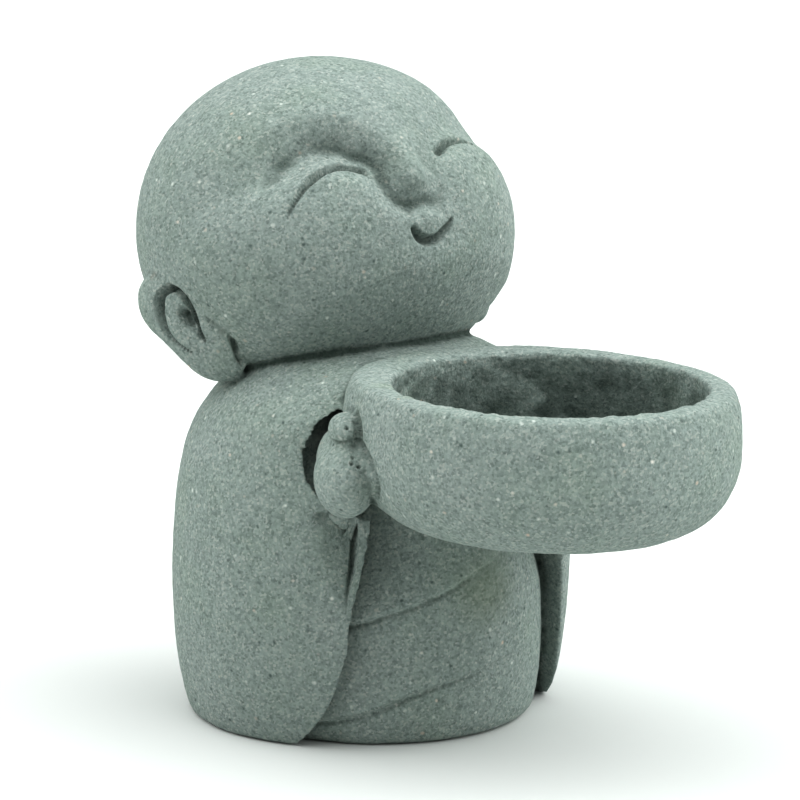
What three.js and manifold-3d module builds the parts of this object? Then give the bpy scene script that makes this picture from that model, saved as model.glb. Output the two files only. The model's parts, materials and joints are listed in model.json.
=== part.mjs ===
import * as THREE from 'three';
import { mergeVertices } from 'three/addons/utils/BufferGeometryUtils.js';
import Module from 'manifold-3d';

// A small stone figure of a child monk that holds a round bowl out in front, cast in one piece.
// Millimetres, +Z up, facing -Y, its right hand on -X, the origin at the centre of the flat underside.

// The figure is laid out at 120 units tall, so every length of its pose and carving is a share of HEIGHT.
const HEIGHT = 120;
const unit = HEIGHT / 120;

// The bowl has sizes of its own.
const BOWL_RADIUS = 33.8;
const BOWL_WALL = 5.2;
const BOWL_DEPTH = 18.6;
const BOWL_FLOOR = 6.7;
const BOWL_FOOT_RADIUS = 22;
const BOWL_RIM_ROUND = 2.2;
const BOWL_RIM_EDGE = 0.7;
const BOWL_RIM_LEAN = 0.9;
const BOWL_BACK_THICKENING = 4.8;

// Where the bowl sits: its rim's height, and how far in front of the axis its back wall starts.
const RIM_HEIGHT = 69.8 * unit;
const BOWL_BACK = 16.6 * unit;
const bowlCentre = new THREE.Vector3(0, -BOWL_BACK - BOWL_RADIUS, RIM_HEIGHT - BOWL_DEPTH - BOWL_FLOOR);

// The hand is a closed fist against the bowl's side: its middle's angle about the bowl, and how far the
// middle stands outside the bowl's wall. The balls it is made of have half sizes across, along the bowl's
// side and upright, and a place along and across that side.
const HAND_ANGLE = THREE.MathUtils.degToRad(150);
const HAND_OUTSIDE = 2.2 * unit;
const HAND_HEIGHT = 55.5 * unit;
const handBalls = [
  { half: [6, 9.5, 9.1], across: 0, along: 0, up: 0 },
  { half: [4.4, 5.4, 3.6], across: 0.2, along: 0, up: 6.4 },
  { half: [4, 10, 6.4], across: 0, along: 8.5, up: -0.4 },
];

// The round mouth of the sleeve about the hand, the shallow hanging fold below it, and the slit in the fold.
const MOUTH_X = -22.2 * unit;
const MOUTH_Z = 54.2 * unit;
const MOUTH_HALF_WIDTH = 7.7 * unit;
const MOUTH_HALF_HEIGHT = 9.6 * unit;
const MOUTH_DEPTH = 4 * unit;
const FOLD_DEPTH = 1.4 * unit;
const SLIT_DEPTH = 3.4 * unit;

// How far forward a cutter for the robe's front starts, and where the front opening ends.
const CUT_REACH = 60 * unit;
const OPENING_BACK = 4 * unit;

// The hem layers of the robe's front: the hem's height at the centre, and how steeply it rises to the left.
const HEM_STEP = 0.8 * unit;
const hems = [{ height: 13.9 * unit, slope: 0.28 }, { height: 33.6 * unit, slope: 0.36 }];

// The ear's half sizes, its place on the head, counted from the middle of the face, and its turns.
const earHalf = new THREE.Vector3(4.6, 8.4, 13).multiplyScalar(unit);
const earCentre = new THREE.Vector3(-32.5, 6.9, -10.2).multiplyScalar(unit);
const EAR_FLARE = THREE.MathUtils.degToRad(15);
const EAR_TUCK = THREE.MathUtils.degToRad(-14);
const EAR_LEAN = THREE.MathUtils.degToRad(-14);

// The head is a wide ball, tipped back so that the face looks up.
const headCentre = new THREE.Vector3(0, 16.1, 87.6).multiplyScalar(unit);
const headHalf = new THREE.Vector3(37.5, 30.5, 33.6).multiplyScalar(unit);
const HEAD_PITCH = THREE.MathUtils.degToRad(40);
const HEAD_ROLL = THREE.MathUtils.degToRad(5);

const EYE_GROOVE = 0.6 * unit;
const MOUTH_GROOVE = 0.7 * unit;
const EAR_GROOVE = 1.3 * unit;

const STONE_COLOUR = 0x7f8f89;

// How finely the round forms are faceted.
const HEAD_FACETS = 52;
const HEAD_RINGS = 25;
const FACE_CROWDING = 1.45;
const ROBE_FACETS = 40;
const ROBE_RINGS = 13;
const BELLY_FACETS = 36;
const BELLY_RINGS = 9;
const BOWL_FACETS = 40;

const wasm = await Module();
wasm.setup();

// Turns a closed geometry into a solid, whichever way round its faces were made.
function solid(geometry) {
  const bare = new THREE.BufferGeometry();
  bare.setAttribute('position', geometry.getAttribute('position').clone());
  if (geometry.index) bare.setIndex(geometry.index.clone());
  const merged = mergeVertices(bare, 1e-4);
  const places = merged.getAttribute('position').array;
  const corners = merged.index.array;
  const corner = (i) => new THREE.Vector3().fromArray(places, 3 * i);
  const faces = [];
  let volume = 0;
  for (let i = 0; i < corners.length; i += 3) {
    const [a, b, c] = corners.slice(i, i + 3);
    if (a === b || b === c || c === a) continue;
    faces.push([a, b, c]);
    volume += corner(a).dot(corner(b).cross(corner(c)));
  }
  const outward = volume > 0 ? faces : faces.map(([a, b, c]) => [a, c, b]);
  return new wasm.Manifold(new wasm.Mesh({
    numProp: 3,
    vertProperties: new Float32Array(places),
    triVerts: new Uint32Array(outward.flat()),
  }));
}

// Moves every point of a geometry by a function of the point.
function reshape(geometry, move) {
  const places = geometry.getAttribute('position');
  const point = new THREE.Vector3();
  for (let i = 0; i < places.count; i++) {
    point.fromBufferAttribute(places, i);
    move(point);
    places.setXYZ(i, point.x, point.y, point.z);
  }
  return geometry;
}

function mirrored(geometry, side) {
  return side < 0 ? geometry : geometry.scale(-1, 1, 1);
}

const smooth = (value, low, high) => THREE.MathUtils.smoothstep(value, low, high);

// A round-ended upright form: rows of [height, half width, half depth] with a smooth line through them.
function tower(rows, steps, around, grow = 0) {
  const line = new THREE.CatmullRomCurve3(rows.map(([z, width, depth]) =>
    new THREE.Vector3(width, depth, z)), false, 'centripetal');
  const levels = line.getPoints(steps);
  const profile = [new THREE.Vector2(0, 0)];
  levels.forEach((level, i) => profile.push(new THREE.Vector2(1, i)));
  profile.push(new THREE.Vector2(0, steps));
  const geometry = new THREE.LatheGeometry(profile, around).rotateX(Math.PI / 2);
  return reshape(geometry, (p) => {
    const level = levels[Math.round(p.z)];
    p.x *= level.x * unit + grow;
    p.y *= level.y * unit + grow;
    p.z = level.z * unit;
  });
}

// The outer robe with its sleeves: half widths and depths by height, leaning forward at the shoulders, where
// the chest drops towards the bowl.
const robeRows = [
  [0, 34.4, 29.6], [1.2, 35.8, 31], [9, 37.8, 32.8], [20, 38.9, 33.8], [32, 39.1, 34], [43, 38.3, 33.3],
  [51, 36.5, 31.8], [58, 33.6, 29.3], [64, 29, 25.6], [68.6, 22.5, 20], [71, 14, 12.5], [71.8, 6, 5],
];
const SHOULDER_LEAN = 6 * unit;
const CHEST_DROP = 2.2 * unit;

function robeForm(grow = 0) {
  const form = tower(robeRows, ROBE_RINGS, ROBE_FACETS, grow);
  return reshape(form, (p) => {
    p.y -= SHOULDER_LEAN * smooth(p.z, 50 * unit, 67 * unit);
    p.z -= CHEST_DROP * smooth(-p.y, -6 * unit, 13 * unit) * smooth(p.z, 57 * unit, 66 * unit);
  });
}

// The robe's front between the sleeves, with the round belly.
const bellyRows = [
  [0, 29.2, 29.4], [1.3, 30.6, 30.9], [6, 31.2, 32.2], [14, 31.2, 33], [24, 30.2, 33.4], [29, 28.4, 33.3],
  [34, 25.4, 33], [40, 22.6, 32.2], [46, 20.8, 31], [56, 19, 28],
];

// Half the width of the robe's front opening, by height: straight for the most part, spreading to the ground.
const openingEdge = [
  [-2, 29.6], [0.9, 29.1], [3.8, 28.1], [7, 26.9], [10.5, 26], [14.4, 25.3], [20, 24.6], [26, 24.2],
  [35, 22.6], [44, 21], [56, 20],
];

// A closed outline in the front view (x, z), pushed back along +Y from one depth to another.
function prism(outline, front, back) {
  const shape = new THREE.Shape(outline.map(([x, z]) => new THREE.Vector2(x * unit, z * unit)));
  const geometry = new THREE.ExtrudeGeometry(shape, { depth: back - front, bevelEnabled: false });
  return geometry.rotateX(Math.PI / 2).translate(0, back, 0);
}

function frontOpening() {
  const right = openingEdge.map(([z, x]) => [x, z]);
  const left = openingEdge.map(([z, x]) => [-x, z]).reverse();
  return solid(prism([...right, ...left], -CUT_REACH, -OPENING_BACK));
}

// The half space above a hem line that rises across the front from the right side to the left.
function aboveHem(hem) {
  const box = new THREE.BoxGeometry(2 * HEIGHT, 2 * HEIGHT, HEIGHT);
  box.translate(0, 0, HEIGHT / 2).rotateY(-Math.atan(hem.slope));
  return solid(box.translate(0, 0, hem.height));
}

function frontRobe() {
  const layer = (number) => solid(tower(bellyRows, BELLY_RINGS, BELLY_FACETS, number * HEM_STEP));
  let form = layer(0);
  hems.forEach((hem, i) => {
    form = form.add(layer(i + 1).intersect(aboveHem(hem)));
  });
  const front = new THREE.BoxGeometry(HEIGHT, HEIGHT, 2 * HEIGHT).translate(0, -HEIGHT / 2, 0);
  return form.intersect(solid(front));
}

// The hanging fold of the sleeve under the hand narrows downwards, and the slit runs along its inner edge.
const foldOutline = [[-24.2, 50], [-24.5, 40], [-24.6, 32], [-24.3, 27.2], [-25.6, 28.6], [-27, 31.4],
  [-28.2, 36.4], [-29.1, 41.5], [-29.8, 47], [-29, 50]];
const slitOutline = [[-24.2, 50], [-24.5, 40], [-24.7, 31], [-25.1, 31], [-25.3, 40], [-25.6, 50]];

function sleeveCut(outline, depth, side) {
  const cut = solid(mirrored(prism(outline, -CUT_REACH, 0), side));
  return cut.subtract(solid(robeForm(-depth)));
}

// The round mouth of the sleeve about the hand.
function sleeveMouth(side) {
  const mouth = new THREE.CylinderGeometry(1, 1, HEIGHT / 2, 28);
  mouth.scale(MOUTH_HALF_WIDTH, 1, MOUTH_HALF_HEIGHT).translate(MOUTH_X, -HEIGHT / 4, MOUTH_Z);
  return solid(mirrored(mouth, side)).subtract(solid(robeForm(-MOUTH_DEPTH)));
}

// The hand is laid out along the bowl's side and turned about the bowl to its place.
function hand(side) {
  const turn = HAND_ANGLE - Math.PI;
  const reach = BOWL_RADIUS + HAND_OUTSIDE;
  const parts = handBalls.map(({ half, across, along, up }) => {
    const ball = new THREE.SphereGeometry(unit, 14, 9).rotateX(Math.PI / 2).scale(...half);
    ball.translate(across * unit - reach, along * unit, up * unit).rotateZ(turn);
    return solid(mirrored(ball.translate(bowlCentre.x, bowlCentre.y, HAND_HEIGHT), side));
  });
  return parts.reduce((whole, part) => whole.add(part));
}

// The bowl's outer profile and its hollow, turned about the bowl's own axis.
// Towards the figure the wall grows thicker, where it runs into the arms and the chest.
function bowlOuter() {
  const height = BOWL_DEPTH + BOWL_FLOOR;
  const belly = 0.56 * height;
  const lip = BOWL_RADIUS - BOWL_RIM_LEAN;
  const inner = BOWL_RADIUS - BOWL_RIM_LEAN - BOWL_WALL;
  const profile = new THREE.Path();
  profile.moveTo(0, 0);
  profile.lineTo(BOWL_FOOT_RADIUS - 1, 0);
  profile.bezierCurveTo(BOWL_FOOT_RADIUS + 6, 0, BOWL_RADIUS, 0.22 * height, BOWL_RADIUS, belly);
  profile.bezierCurveTo(BOWL_RADIUS, 0.8 * height, lip + 0.4, 0.9 * height, lip, height - BOWL_RIM_ROUND);
  profile.quadraticCurveTo(lip - 0.2, height, lip - BOWL_RIM_ROUND, height);
  profile.lineTo(inner, height);
  profile.lineTo(0, height);
  const geometry = new THREE.LatheGeometry(profile.getPoints(4), BOWL_FACETS).rotateX(Math.PI / 2);
  reshape(geometry, (p) => {
    p.y += BOWL_BACK_THICKENING * smooth(p.y, 0, 0.75 * BOWL_RADIUS);
  });
  return solid(geometry.translate(bowlCentre.x, bowlCentre.y, bowlCentre.z));
}

function bowlHollow() {
  const height = BOWL_DEPTH + BOWL_FLOOR;
  const mouth = BOWL_RADIUS - BOWL_RIM_LEAN - BOWL_WALL;
  const widest = BOWL_RADIUS - BOWL_WALL;
  const above = 8 * unit;
  const profile = new THREE.Path();
  profile.moveTo(0, BOWL_FLOOR);
  profile.lineTo(BOWL_FOOT_RADIUS - 2, BOWL_FLOOR);
  profile.quadraticCurveTo(widest, BOWL_FLOOR, widest, BOWL_FLOOR + 0.45 * BOWL_DEPTH);
  profile.quadraticCurveTo(widest, 0.8 * height, mouth, height - BOWL_RIM_EDGE);
  profile.lineTo(mouth + BOWL_RIM_EDGE, height);
  profile.lineTo(mouth + BOWL_RIM_EDGE + 1, height + above);
  profile.lineTo(0, height + above);
  const geometry = new THREE.LatheGeometry(profile.getPoints(3), BOWL_FACETS).rotateX(Math.PI / 2);
  return solid(geometry.translate(bowlCentre.x, bowlCentre.y, bowlCentre.z));
}

// The face is laid out in the head's own frame: x to the side, z up, on the front (-Y) of the ball.
// Its two sides mirror each other about a line a little to the figure's right, as it was modelled by hand.
const FACE_MIDDLE = -0.9;
const browLine = [[4, -7], [4.8, -3.6], [6, 0], [8, 3], [10.7, 5.4], [14.4, 7], [19.2, 7.2], [23.5, 5.6],
  [28, 2.4]];
const eyeLine = [[9, -4], [11.8, -2.2], [15, -1.2], [18.6, -1.7], [21.8, -3.6], [24.4, -6.1]];
const mouthLine = [[-4.7, -15.6], [-3.7, -17.6], [0, -19], [3.7, -17.6], [4.7, -15.6]];

// The valley under each brow: its depth, and how far it reaches to each side of its line.
const BROW_VALLEY = 2.5;
const BROW_REACH = 3.8;

// Under the jaw the head draws in: from this height down, by this much of the height.
const JAW_HEIGHT = -21.3 * unit;
const JAW_TUCK = 0.25;

// The soft forms of the face, each a rounded rise or a dip (negative) on both sides of the middle.
const faceForms = [
  { part: 'nose tip', height: 2.3, x: 0, z: -9.4, wide: 3.4, tall: 3.6 },
  { part: 'nose bridge', height: 1.2, x: 0, z: -4.5, wide: 2.6, tall: 6.5 },
  { part: 'cheek', height: 1.3, x: 19, z: -12, wide: 12, tall: 9 },
  { part: 'upper lip', height: 1, x: 0, z: -16, wide: 5, tall: 2.6 },
  { part: 'chin', height: 0.8, x: 0, z: -23, wide: 7, tall: 5 },
  { part: 'temple', height: -2.1, x: 28, z: 4.5, wide: 7, tall: 6.5 },
];

const flat = (line) => line.map(([x, z]) => new THREE.Vector2(x, z));

// The distance in the front view from a point to a line of points, and the share along the line.
function nearest(line, x, z) {
  let best = { distance: Infinity, along: 0 };
  const points = flat(line);
  const place = new THREE.Vector2(x, z);
  for (let i = 0; i + 1 < points.length; i++) {
    const step = points[i + 1].clone().sub(points[i]);
    const along = THREE.MathUtils.clamp(place.clone().sub(points[i]).dot(step) / step.lengthSq(), 0, 1);
    const distance = place.distanceTo(points[i].clone().addScaledVector(step, along));
    if (distance < best.distance) best = { distance, along: (i + along) / (points.length - 1) };
  }
  return best;
}

const bell = (distance, width) => Math.exp(-((distance / width) ** 2));

// How far the face stands out from the plain ball at a place of the front view.
function faceRelief(x, z) {
  const off = Math.abs(x - FACE_MIDDLE);
  const brow = nearest(browLine, off, z);
  const shown = smooth(brow.along, -0.3, 0.35) * (1 - smooth(off, 20, 29));
  const reach = BROW_REACH * (1 + 0.6 * smooth(off, 12, 24));
  const valley = -BROW_VALLEY * bell(brow.distance, reach) * shown;
  return faceForms.reduce((sum, form) =>
    sum + form.height * bell(off - form.x, form.wide) * bell(z - form.z, form.tall), valley);
}

// Puts a place of the front view on the bare ball of the head.
function onBall(x, z) {
  const across = (x * unit / headHalf.x) ** 2 + (z * unit / headHalf.z) ** 2;
  return new THREE.Vector3(x * unit, -headHalf.y * Math.sqrt(Math.max(0, 1 - across)), z * unit);
}

function onFace(x, z) {
  const place = onBall(x, z);
  const outward = place.clone().divide(headHalf).divide(headHalf).normalize();
  return place.addScaledVector(outward, faceRelief(x, z) * unit);
}

// A round groove cutter that follows points, thinning to its ends.
function grooveCutter(points, radius, steps) {
  const section = new THREE.Shape(new THREE.EllipseCurve(0, 0, radius, radius).getPoints(6).slice(0, 6));
  const path = new THREE.CatmullRomCurve3(points);
  return new THREE.ExtrudeGeometry(section, { steps, extrudePath: path, bevelEnabled: false });
}

// The bare ball, with its rings drawn together about the face, then the face raised and the jaw drawn in.
function ball() {
  const geometry = new THREE.SphereGeometry(1, HEAD_FACETS, HEAD_RINGS);
  return reshape(geometry, (p) => {
    const from = Math.acos(THREE.MathUtils.clamp(-p.y, -1, 1));
    const to = Math.PI * (from / Math.PI) ** FACE_CROWDING;
    const ring = Math.hypot(p.x, p.z) || 1;
    p.set(p.x / ring * Math.sin(to), -Math.cos(to), p.z / ring * Math.sin(to));
    p.multiply(headHalf);
    const outward = p.clone().divide(headHalf).divide(headHalf).normalize();
    const facing = smooth(-p.y, 0, 8 * unit);
    const tuck = JAW_TUCK * Math.max(0, JAW_HEIGHT - p.z) * smooth(-p.y, -12 * unit, 0);
    p.addScaledVector(outward, faceRelief(p.x / unit, p.z / unit) * facing * unit - tuck);
  });
}

// The ear is a long flat lobe with a horseshoe hollow, leaning back on the side of the head.
function ear() {
  return new THREE.SphereGeometry(1, 18, 12).rotateX(Math.PI / 2).scale(...earHalf);
}

function earHollow() {
  const points = [[3.4, -5.5], [4.4, 0], [3.6, 5.4], [0, 8], [-3.4, 5.4], [-4, 0.5], [-3.4, -3]];
  const places = points.map(([y, z]) => {
    const across = (y * unit / earHalf.y) ** 2 + (z * unit / earHalf.z) ** 2;
    return new THREE.Vector3(-earHalf.x * Math.sqrt(1 - across), y * unit, z * unit);
  });
  return grooveCutter(places, EAR_GROOVE, 16);
}

function earPlace(geometry, side) {
  geometry.rotateZ(EAR_FLARE).rotateY(EAR_TUCK).rotateX(EAR_LEAN).translate(...earCentre);
  return solid(mirrored(geometry, side).translate(FACE_MIDDLE * unit, 0, 0));
}

// The head, with its face cut in, turned to its place on the shoulders.
function head() {
  let form = solid(ball());
  for (const side of [-1, 1]) {
    const eye = eyeLine.map(([x, z]) => onFace(FACE_MIDDLE + side * x, z));
    form = form.add(earPlace(ear(), side)).subtract(earPlace(earHollow(), side));
    form = form.subtract(solid(grooveCutter(eye, EYE_GROOVE, 14)));
  }
  const mouth = mouthLine.map(([x, z]) => onFace(FACE_MIDDLE + x, z));
  return form.subtract(solid(grooveCutter(mouth, MOUTH_GROOVE, 10)));
}

function geometryOf(form) {
  const mesh = form.getMesh();
  const geometry = new THREE.BufferGeometry();
  geometry.setAttribute('position', new THREE.BufferAttribute(new Float32Array(mesh.vertProperties), 3));
  geometry.setIndex(new THREE.BufferAttribute(new Uint32Array(mesh.triVerts), 1));
  return geometry;
}

function placedHead() {
  const geometry = geometryOf(head());
  geometry.rotateY(-HEAD_ROLL).rotateX(-HEAD_PITCH);
  return solid(geometry.translate(headCentre.x, headCentre.y, headCentre.z));
}

function figure() {
  let form = solid(robeForm()).subtract(frontOpening()).add(frontRobe());
  for (const side of [-1, 1]) {
    form = form.subtract(sleeveMouth(side));
    form = form.subtract(sleeveCut(foldOutline, FOLD_DEPTH, side));
    form = form.subtract(sleeveCut(slitOutline, SLIT_DEPTH, side));
  }
  form = form.add(bowlOuter());
  for (const side of [-1, 1]) {
    form = form.add(hand(side));
  }
  return form.subtract(bowlHollow()).add(placedHead());
}

const stone = new THREE.MeshStandardMaterial({ color: STONE_COLOUR, roughness: 0.95, metalness: 0 });
const statue = new THREE.Mesh(geometryOf(figure()), stone);
statue.name = 'jizo_statue';

const model = new THREE.Group();
model.add(statue);

export default model;
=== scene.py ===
# %% [markdown]
# # A cast stone figure that holds a bowl
#
# The real object is one piece of cast stone: cement and sand, poured into a rubber mould, taken out and
# left matt. It shows a round-headed child monk who looks up and holds an open bowl out in front.
#
# The figure is made here as a maker of the mould would make it. Plain round forms are turned, stretched and
# cut (the robe, the bowl, the head), they are melted into one skin, and then the carving is pressed into
# that skin: the eyes, the mouth, the ears, the hands and the hems. Stone has no seams, so the whole
# figure is one mesh and one material. The CAD model gives the frame: the same numbers put every form in
# its place, in millimetres, and the last step turns the mesh to metres.

# %% The frame
import json
import math

import bmesh
import bpy
import numpy as np
from mathutils import Matrix, Vector, noise
from mathutils.bvhtree import BVHTree

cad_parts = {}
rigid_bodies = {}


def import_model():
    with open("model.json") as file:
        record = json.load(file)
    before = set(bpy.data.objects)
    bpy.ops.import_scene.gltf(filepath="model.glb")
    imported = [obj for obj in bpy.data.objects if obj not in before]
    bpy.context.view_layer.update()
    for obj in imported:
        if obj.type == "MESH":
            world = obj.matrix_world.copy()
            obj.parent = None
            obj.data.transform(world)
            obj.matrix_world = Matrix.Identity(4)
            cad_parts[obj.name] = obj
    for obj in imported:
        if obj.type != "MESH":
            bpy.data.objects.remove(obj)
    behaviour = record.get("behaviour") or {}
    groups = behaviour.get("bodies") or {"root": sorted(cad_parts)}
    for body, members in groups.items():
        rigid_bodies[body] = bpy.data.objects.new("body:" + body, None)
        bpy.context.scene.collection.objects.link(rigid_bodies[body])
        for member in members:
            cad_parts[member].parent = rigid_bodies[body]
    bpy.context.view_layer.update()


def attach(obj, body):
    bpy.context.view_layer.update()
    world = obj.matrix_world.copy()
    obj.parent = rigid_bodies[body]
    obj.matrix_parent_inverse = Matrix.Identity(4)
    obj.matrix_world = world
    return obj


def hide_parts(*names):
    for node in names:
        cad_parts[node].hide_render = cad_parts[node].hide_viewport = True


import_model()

# %% [markdown]
# ## Small tools
#
# A bmesh is Blender's mesh in the hand of a script: it starts from a circle, a cone or a ball, and
# operators change it. A few helpers are needed all the way. `smoothstep` is the soft switch that every
# sculptor's brush uses, and `bell` is a soft bump. `through` draws a smooth line through a few measured
# places. `move` lets a function say where each point of a form goes, which turns a plain cone into a robe.
# `settle` makes a modifier's result final, and `cut` takes one form away from another.

# %% Soft switches and smooth lines
MM = 0.001


def smoothstep(value, low, high):
    share = np.clip((np.asarray(value, float) - low) / (high - low), 0, 1)
    return share * share * (3 - 2 * share)


def bell(distance, width):
    return np.exp(-((np.asarray(distance, float) / width) ** 2))


def through(points, count):
    """A smooth (Catmull-Rom) line through the points, as `count` places of equal share."""
    points = np.array(points, float)
    padded = np.vstack([2 * points[0] - points[1], points, 2 * points[-1] - points[-2]])
    places = np.linspace(0, len(points) - 1, count)
    start = np.minimum(places.astype(int), len(points) - 2)
    t = (places - start)[:, None]
    a, b, c, d = (padded[start + k] for k in range(4))
    return 0.5 * (2 * b + (c - a) * t + (2 * a - 5 * b + 4 * c - d) * t ** 2
                  + (3 * b - a - 3 * c + d) * t ** 3)


# %% Moving the points of a form
def move(bm, place):
    for vert in bm.verts:
        vert.co = place(vert.co)
    return bm


def as_object(bm, name):
    """Puts a finished bmesh into an object, with its faces pointing outwards."""
    bmesh.ops.recalc_face_normals(bm, faces=bm.faces)
    mesh = bpy.data.meshes.new(name)
    bm.to_mesh(mesh)
    bm.free()
    piece = bpy.data.objects.new(name, mesh)
    bpy.context.collection.objects.link(piece)
    return piece


def settle(piece):
    """Turns what the piece's modifiers make into its own mesh."""
    graph = bpy.context.evaluated_depsgraph_get()
    mesh = bpy.data.meshes.new_from_object(piece.evaluated_get(graph))
    piece.modifiers.clear()
    piece.data = mesh


def cut(piece, tool):
    """Cuts a tool away from a piece, and throws the tool away."""
    step = piece.modifiers.new("cut", "BOOLEAN")
    step.object = tool
    step.operation = "DIFFERENCE"
    step.solver = "EXACT"
    settle(piece)
    bpy.data.objects.remove(tool)
    return piece


# %% [markdown]
# ## The robe
#
# The outer robe with its hanging sleeves is a soft, slightly flattened bell. It could be cut from a block
# or sculpted, but its sides are so even that a turned form is truer: a cone with many rings, whose rings
# take their half width and half depth from a short table of heights. At the shoulders it leans forward,
# because the arms reach out to the bowl, and the back leans half as far. The belly is a second, narrower
# form of the same kind, which shows in the opening between the sleeves.

# %% Robe and belly forms
# Height, half width, half depth
robe_rows = [(0, 34.4, 29.6), (1.2, 35.8, 31), (9, 37.8, 32.8), (20, 38.9, 33.8), (32, 39.1, 34),
             (43, 38.3, 33.3), (51, 36.7, 32.2), (58, 34, 30), (64, 29.6, 26.4), (68.6, 23, 20.6),
             (71, 14, 12.5), (71.8, 6, 5)]
belly_rows = [(0, 29.2, 29.4), (1.3, 30.6, 30.9), (6, 31.2, 32.2), (14, 31.2, 33), (24, 30.2, 33.4),
              (29, 28.4, 33.3), (34, 25.4, 33), (40, 22.6, 32.2), (46, 20.8, 31), (56, 19, 28)]
SHOULDER_LEAN = 6
BACK_SHARE = 0.5                # of the lean
CHEST_DROP = 2.2
RINGS, SEGMENTS = 44, 120


def tower(rows, grow=0.0):
    bm = bmesh.new()
    bmesh.ops.create_cone(bm, cap_ends=True, segments=SEGMENTS, radius1=1, radius2=1, depth=1)
    upright = [edge for edge in bm.edges if abs(edge.verts[0].co.z - edge.verts[1].co.z) > 0.5]
    bmesh.ops.subdivide_edges(bm, edges=upright, cuts=RINGS - 2, use_grid_fill=True)
    levels = through(rows, RINGS)

    def place(p):
        z, width, depth = levels[round((p.z + 0.5) * (RINGS - 1))]
        return Vector((p.x * (width + grow), p.y * (depth + grow), z))

    return move(bm, place)


def robe_form(grow=0.0):
    def lean(p):
        less = (1 - BACK_SHARE) * smoothstep(p.y, 0, 16)
        y = p.y - SHOULDER_LEAN * float(smoothstep(p.z, 50, 67) * (1 - less))
        drop = CHEST_DROP * float(smoothstep(-y, -6, 13) * smoothstep(p.z, 57, 66))
        return Vector((p.x, y, p.z - drop))

    return move(tower(robe_rows, grow=grow), lean)


robe = as_object(robe_form(), "robe")
print("robe form:", len(robe.data.polygons), "faces")

# %% [markdown]
# ## Opening the robe
#
# The front opening is a cut straight back from the front, with the outline of the two sleeve edges: nearly
# upright, and spreading towards the ground. A Boolean modifier takes it away, and the belly is put in.
# Each sleeve gets an oval mouth for the hand. The narrow slit below it is carved later, when the whole
# figure is one skin, because a cut that thin would tear in the melting.

# %% The front opening
# Height, half width of the opening
opening_edge = [(-2, 29.6), (0.9, 29.1), (3.8, 28.1), (7, 26.9), (10.5, 26), (14.4, 25.3), (20, 24.6),
                (26, 24.2), (35, 22.6), (44, 21), (56, 20)]


def prism(outline, front, back):
    """A closed outline, given as (x, z) from the front, carried from one depth to another."""
    bm = bmesh.new()
    verts = [bm.verts.new((x, front, z)) for x, z in outline]
    face = bm.faces.new(verts)
    carried = bmesh.ops.extrude_face_region(bm, geom=[face])["geom"]
    far_verts = [part for part in carried if isinstance(part, bmesh.types.BMVert)]
    bmesh.ops.translate(bm, vec=(0, back - front, 0), verts=far_verts)
    return bm


edge_line = through(opening_edge, 40)
outline = [(x, z) for z, x in edge_line] + [(-x, z) for z, x in edge_line[::-1]]
OPENING_FRONT, OPENING_BACK = -60, -4
cut(robe, as_object(prism(outline, OPENING_FRONT, OPENING_BACK), "opening"))

belly = tower(belly_rows)
halved = bmesh.ops.bisect_plane(belly, geom=belly.verts[:] + belly.edges[:] + belly.faces[:],
                                plane_co=(0, 0, 0), plane_no=(0, 1, 0), clear_outer=True)["geom_cut"]
bmesh.ops.holes_fill(belly, edges=[part for part in halved if isinstance(part, bmesh.types.BMEdge)])
belly = as_object(belly, "belly")
print("robe with its opening:", len(robe.data.polygons), "faces")

# %% The sleeve mouths
MOUTH_CENTRE = (-22.2, 53)
MOUTH_HALF = (7.6, 9.5)
MOUTH_LEAN = math.radians(6)
MOUTH_DEPTH = 6
MOUTH_REACH = 30                # the cutter's length, and how far out in front its middle is


def sleeve_mouth():
    bm = bmesh.new()
    bmesh.ops.create_cone(bm, cap_ends=True, segments=64, radius1=1, radius2=1, depth=MOUTH_REACH)
    bmesh.ops.rotate(bm, verts=bm.verts, cent=(0, 0, 0), matrix=Matrix.Rotation(math.radians(90), 3, "X"))
    bmesh.ops.scale(bm, verts=bm.verts, vec=(MOUTH_HALF[0], 1, MOUTH_HALF[1]))
    bmesh.ops.rotate(bm, verts=bm.verts, cent=(0, 0, 0), matrix=Matrix.Rotation(MOUTH_LEAN, 3, "Y"))
    bmesh.ops.translate(bm, verts=bm.verts, vec=(MOUTH_CENTRE[0], -MOUTH_REACH, MOUTH_CENTRE[1]))
    return cut(as_object(bm, "mouth"), as_object(robe_form(-MOUTH_DEPTH), "sleeve lining"))


def mirrored(piece):
    """A copy of a cutter or form on the figure's left side."""
    bm = bmesh.new()
    bm.from_mesh(piece.data)
    bmesh.ops.scale(bm, verts=bm.verts, vec=(-1, 1, 1))
    return as_object(bm, piece.name + " left")


right_mouth = sleeve_mouth()
left_mouth = mirrored(right_mouth)
cut(robe, right_mouth)
cut(robe, left_mouth)
print("robe with its sleeves:", len(robe.data.polygons), "faces")

# %% [markdown]
# ## The bowl
#
# A bowl is a turned form, so its outline is drawn once, from the middle of the foot up over the rim and
# down to the middle of the floor inside, and spun about its axis. That gives a true hollow with a wall of
# real thickness. Towards the figure the wall is thicker, where it runs into the arms.

# %% The bowl's outline, spun
BOWL_CENTRE = (0, -50.4, 44.5)
BOWL_RADIUS, BOWL_WALL, BOWL_DEPTH, BOWL_FLOOR = 33.8, 5.2, 18.6, 6.7
BOWL_FOOT_RADIUS, RIM_LEAN, RIM_ROUND = 22, 0.9, 2.2
BACK_THICKENING = 4.8
BOWL_HEIGHT = BOWL_DEPTH + BOWL_FLOOR


def curve(points, count=12):
    """A Bezier curve of two to four control points."""
    points = [np.array(p, float) for p in points]
    out = []
    for t in np.linspace(0, 1, count):
        row = points
        while len(row) > 1:
            row = [(1 - t) * a + t * b for a, b in zip(row, row[1:])]
        out.append(row[0])
    return out


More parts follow.
